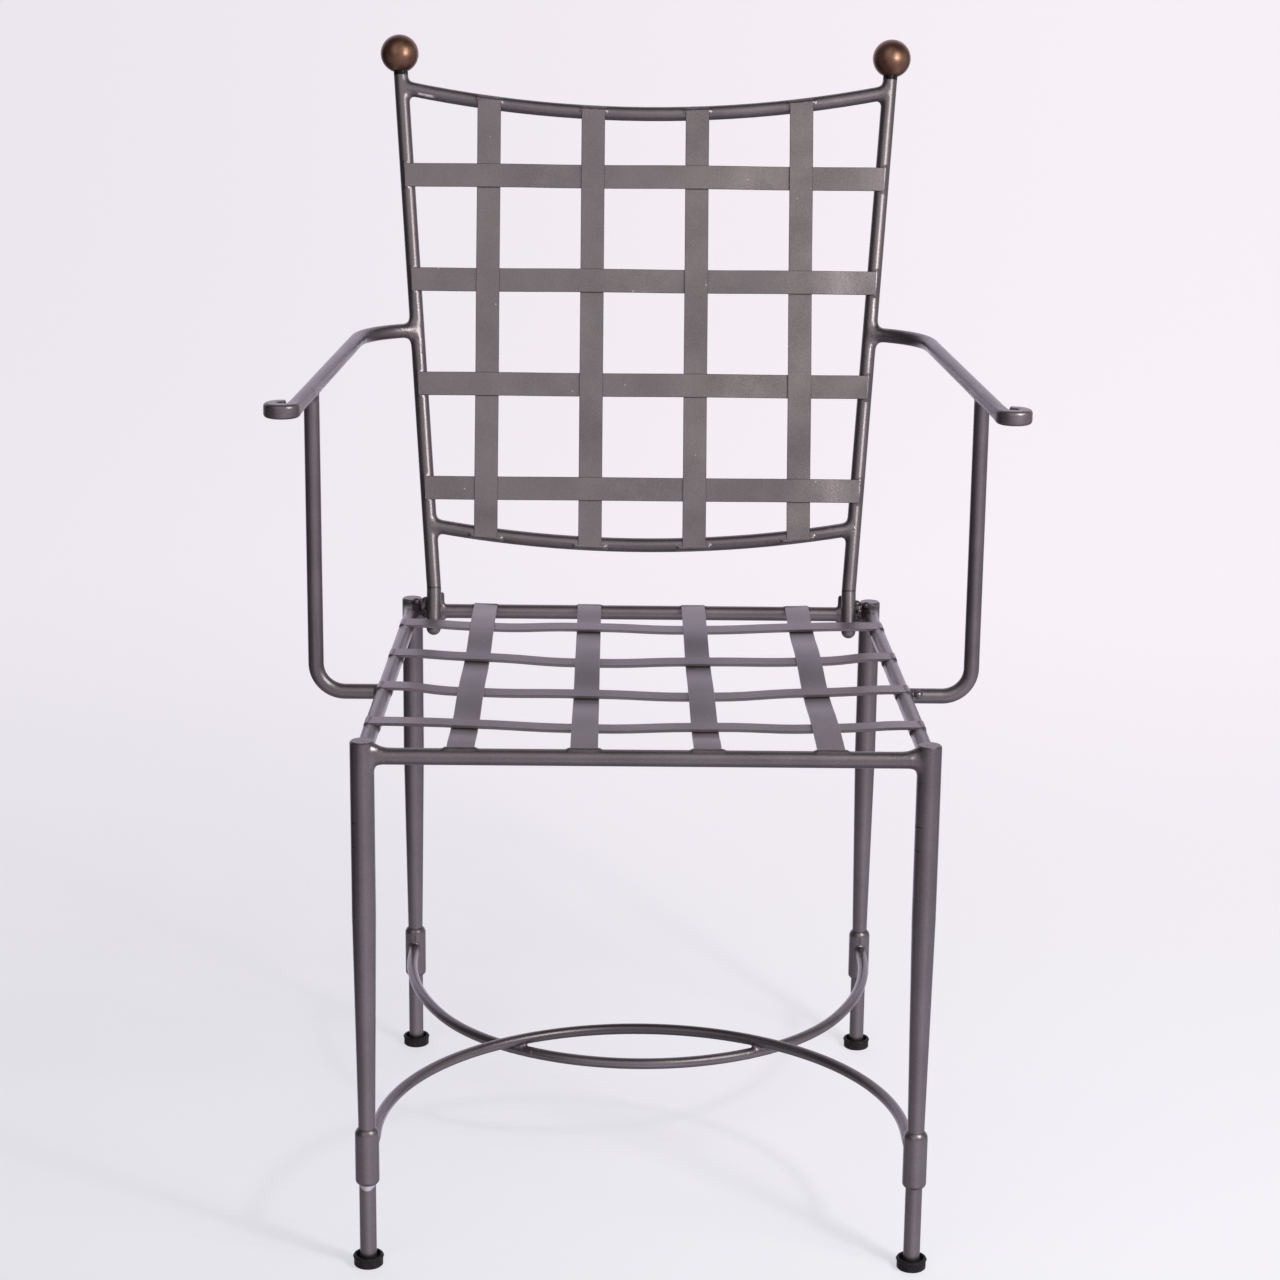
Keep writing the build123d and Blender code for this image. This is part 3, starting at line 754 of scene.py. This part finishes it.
# Arm welds: the arms meet the uprights and the posts, and the posts the side rails, in dressed beads.
# They are steel under the same paint as the rods.
POST = 0.0128
ARM_FILLET = 0.0072
POST_FILLET = 0.0034
ROOT_STUMP = 0.032
ROOT_BARS = 3
ROOT_BAR_TURN = 0.14
CROSSED_STUMP = 0.025
POST_TOP_STUMP = Vector((0, 0, 0.028))
POST_FOOT_STUMP = Vector((0.030, 0, 0))
roots = bmesh.new()
posts = bmesh.new()
for side in (-1, 1):
    upright_bar(roots, side, ARM_HEIGHT, ROOT_STUMP, ROD, ARM_FILLET)
    for step in range(ROOT_BARS):
        start, end = on_bend(side, step * ROOT_BAR_TURN), on_bend(side, (step + 1) * ROOT_BAR_TURN)
        bar(roots, start, end, ARM, ARM_FILLET)
    top = Vector((side * POST_X, POST_Y, ARM_Z))
    arm_run = mirrored(ARM_BACKWARD, side) * CROSSED_STUMP
    bar(posts, top + arm_run, top - arm_run, ARM, POST_FILLET)
    bar(posts, top, top - POST_TOP_STUMP, POST, POST_FILLET)
    rail_ends = [side_rail(side, POST_Y + along) for along in (-CROSSED_STUMP, CROSSED_STUMP)]
    bar(posts, *rail_ends, ROD, POST_FILLET)
    foot = side_rail(side, POST_Y)
    bar(posts, foot, foot + POST_FOOT_STUMP * side, POST, POST_FILLET)
weld("arm_root_welds", roots, ARM_FILLET)
weld("arm_post_welds", posts, POST_FILLET)

# Stretchers: thinner steel rod, bowed and crossed, welded to the collars.
# They tie the legs and take the same paint, darkened on the middle of the front one as painted shade.
# Painted shade: the middle of the front bow is darkened.
SHADE_HALF = (0.05, 0.16)
SHADE_DARKNESS = 0.42


def painted_shade_middle(field, place):
    [x] = axes(field, place, "X")
    return x.near(0.0, *SHADE_HALF) * SHADE_DARKNESS


front_bow_shaded_paint = pewter("front_stretcher_shaded_pewter", FRAME_DARK, FRAME_LIGHT, scored_and_shaded=painted_shade_middle)
dress(["rear_stretcher"], frame_paint)
dress(["front_stretcher"], front_bow_shaded_paint)

# Stretcher welds: small steel beads where the bows leave the collars and where they cross.
# They fill the sharp corners of the crossings with a dark web, and are sprayed with the frame.
STRETCHER = 0.0094
COLLAR = 0.0194
COLLAR_LOW = 0.076
COLLAR_HIGH = 0.1125
FRONT_BOW_X = 0.214
FRONT_BOW_Z = 0.1096
REAR_BOW_X = 0.2125
REAR_BOW_Z = 0.100
BOW_STUMP = 0.030
CROSSING_X = 0.1036
CROSSING_Y = -0.0843
CROSSING_HALF = 0.015
FRONT_CROSSING_RUN = Vector((0.873, 0.487, 0))
REAR_CROSSING_RUN = Vector((0.853, -0.522, 0))
STRETCHER_FILLET = 0.0030
shell = bmesh.new()
for ends, bow_x, bow_z, inward in (
    (FRONT_ENDS, FRONT_BOW_X, FRONT_BOW_Z, BOW_STUMP),
    (REAR_ENDS, REAR_BOW_X, REAR_BOW_Z, -BOW_STUMP),
):
    for end in ends:
        x, y = LEG_X[end], LEG_Y[end]
        start = Vector((math.copysign(bow_x, x), y, bow_z))
        bar(shell, start, start + Vector((0, inward, 0)), STRETCHER, STRETCHER_FILLET)
        bar(shell, (x, y, COLLAR_LOW), (x, y, COLLAR_HIGH), COLLAR, STRETCHER_FILLET)
for side in (-1, 1):
    for bow_z, run in ((FRONT_BOW_Z, FRONT_CROSSING_RUN), (REAR_BOW_Z, REAR_CROSSING_RUN)):
        crossing = Vector((-side * CROSSING_X, CROSSING_Y, bow_z))
        reach = mirrored(run, side) * CROSSING_HALF
        bar(shell, crossing - reach, crossing + reach, STRETCHER, STRETCHER_FILLET)
weld("stretcher_welds", shell, STRETCHER_FILLET)

# Weld drop: a round bead of steel left standing on the foot of the right arm post.
# It is sprayed over with the frame and catches the light.
DROP = (0.2292, -0.1136, 0.4322)
DROP_RADIUS = 0.0037
shell = bmesh.new()
bmesh.ops.create_icosphere(shell, subdivisions=3, radius=DROP_RADIUS, matrix=Matrix.Translation(DROP))
piece_of("weld_drops", shell, weld_paint)

# Floor: a plain pale studio sweep, a flat sheet inside a round wall far off, so that it fills each view.
# It glows a little by itself as painted light, which keeps the shadows on it faint, and the glow is
# painted brighter to the back and right and bluish to the front left.
# It is not part of the chair.
SWEEP = 50.0
SHEET_HALF = 1.2 * SWEEP
WALL_SIDES = 96
# The floor's glow colours are painted light: bluish and dimmer to the front left, paler and brighter to
# the back right.
GLOW_BLUE = (0.494, 0.508, 0.546, 1)
GLOW_PALE = (0.768, 0.713, 0.760, 1)
PAPER_GREY = (0.38, 0.38, 0.38, 1)
FADE_DEPTH = (-1.2, 2.4)
FADE_EYE_Y = -2.5
FADE_SOFTNESS = 0.5
FADE_WIDTH = (-0.25, 0.22)
BACK_SHARE = 0.64
BACK_RIGHT_SHARE = 0.31
RIGHT_SHARE = 0.05
sheet = bmesh.new()
bmesh.ops.create_grid(sheet, x_segments=1, y_segments=1, size=SHEET_HALF)
bmesh.ops.create_cone(
    sheet, cap_ends=False, segments=WALL_SIDES, radius1=SWEEP, radius2=SWEEP, depth=2 * SWEEP
)
floor_mesh = bpy.data.meshes.new("floor")
sheet.to_mesh(floor_mesh)
sheet.free()
floor = bpy.data.objects.new("floor", floor_mesh)
bpy.context.scene.collection.objects.link(floor)
floor_finish, field, floor_shader, place = new_finish("studio_floor")
x, y = axes(field, place, "XY")
ahead = y - FADE_EYE_Y
across = x / field.maths("SQRT", ahead * ahead + FADE_SOFTNESS)
back = y.between(*FADE_DEPTH)
fade = back * BACK_SHARE + across.between(*FADE_WIDTH) * (back * BACK_RIGHT_SHARE + RIGHT_SHARE)
field.feed(floor_shader, {"Emission Color": blend(field, fade, GLOW_BLUE, GLOW_PALE)})
field.feed(floor_shader, {"Emission Strength": 1.0, "Base Color": PAPER_GREY})
field.feed(floor_shader, {"Roughness": 1.0, "Specular IOR Level": 0.0})
floor_mesh.materials.append(floor_finish)
floor.visible_diffuse = False
floor.visible_glossy = False
floor.visible_shadow = False

# Studio light: a dim room with soft patches of light, and a tall softbox at the front right.
# Below the softbox a small key lamp throws the shadows on the floor.
# A low card on the floor throws a little light up at the legs.
world = bpy.data.worlds.new("studio")
bpy.context.scene.world = world
world.use_nodes = True
room = Field(world.node_tree)
direction = room.make("ShaderNodeTexCoord", out="Generated")


def glow(towards, edge, core, strength):
    """A soft patch of light round a direction, from its edge angle to its core angle in degrees."""
    nearness = distance_along(room, direction, Vector(towards).normalized())
    return nearness.between(math.cos(math.radians(edge)), math.cos(math.radians(core)), 0.0, strength)


ROOM_LIGHT = 0.08
ROOM_WHITE = (0.99, 0.96, 0.97, 1)
BEHIND_WHITE = (1.01, 0.93, 1.12, 1)
overhead = glow((-0.12, -1.0, 0.95), edge=41, core=10, strength=0.69)
front_left = glow((-0.45, -1.0, 0.50), edge=36, core=8, strength=0.44)
right = glow((1.0, -0.45, -0.2), edge=75, core=20, strength=0.58)
low_front = glow((0.0, -1.0, -0.36), edge=46, core=10, strength=0.54)
low_left = glow((-1.0, -0.4, -0.62), edge=28, core=8, strength=0.17)
behind = glow((0.0, 1.0, 0.20), edge=60, core=30, strength=0.90)
behind = behind + glow((0.0, 1.0, -0.2), edge=24, core=8, strength=0.35)
below = glow((0.0, 0.0, -1.0), edge=110, core=70, strength=0.8)
light = overhead + ROOM_LIGHT + front_left + right + low_front + low_left + behind
tint = blend(room, behind + below, ROOM_WHITE, BEHIND_WHITE)
room.feed(world.node_tree.nodes["Background"], {"Color": tint, "Strength": light})


def card(name, place, aim, width, height, energy, colour):
    """A rectangular lamp that the camera doesn't see."""
    lamp = bpy.data.lights.new(name, "AREA")
    lamp.shape = "RECTANGLE"
    lamp.size = width
    lamp.size_y = height
    lamp.energy = energy
    lamp.color = colour
    piece = bpy.data.objects.new(name, lamp)
    bpy.context.scene.collection.objects.link(piece)
    piece.matrix_world = facing(Vector(place), Vector(place) - Vector(aim))
    piece.visible_camera = False


card(
    "softbox",
    place=(1.06, -1.06, 1.50),
    aim=(0.0, 0.05, 0.75),
    width=0.75,
    height=1.15,
    energy=13.5,
    colour=(1.0, 0.965, 0.93),
)
card(
    "key_lamp",
    place=(0.80, -0.98, 1.12),
    aim=(0.0, 0.0, 0.3),
    width=0.14,
    height=0.14,
    energy=5.8,
    colour=(1.0, 0.97, 0.95),
)
card(
    "floor_card",
    place=(0.15, -0.25, -0.01),
    aim=(0.15, -0.25, 1.0),
    width=1.7,
    height=1.7,
    energy=2.8,
    colour=(0.98, 0.95, 1.05),
)

# Camera: in front of the chair and above it, as in the photograph, whose frame is square.
# The lens follows from the focal length that the legs and rails give in the picture.
FOCAL_PX = 2951.1
FRAME_PX = 1280
EYE = (-0.02817, -2.48597, 1.0900)
PITCH = 0.2527
YAW = 0.0103
ROLL = 0.0109
lens = bpy.data.cameras.new("camera")
lens.sensor_width = 36.0
lens.lens = FOCAL_PX / FRAME_PX * lens.sensor_width
lens.clip_end = 4 * SWEEP
camera = bpy.data.objects.new("camera", lens)
bpy.context.scene.collection.objects.link(camera)
camera.matrix_world = (
    Matrix.Translation(EYE)
    @ Matrix.Rotation(-YAW, 4, "Z")
    @ Matrix.Rotation(math.pi / 2 - PITCH, 4, "X")
    @ Matrix.Rotation(ROLL, 4, "Z")
)
bpy.context.scene.camera = camera
bpy.context.scene.view_settings.view_transform = "Standard"
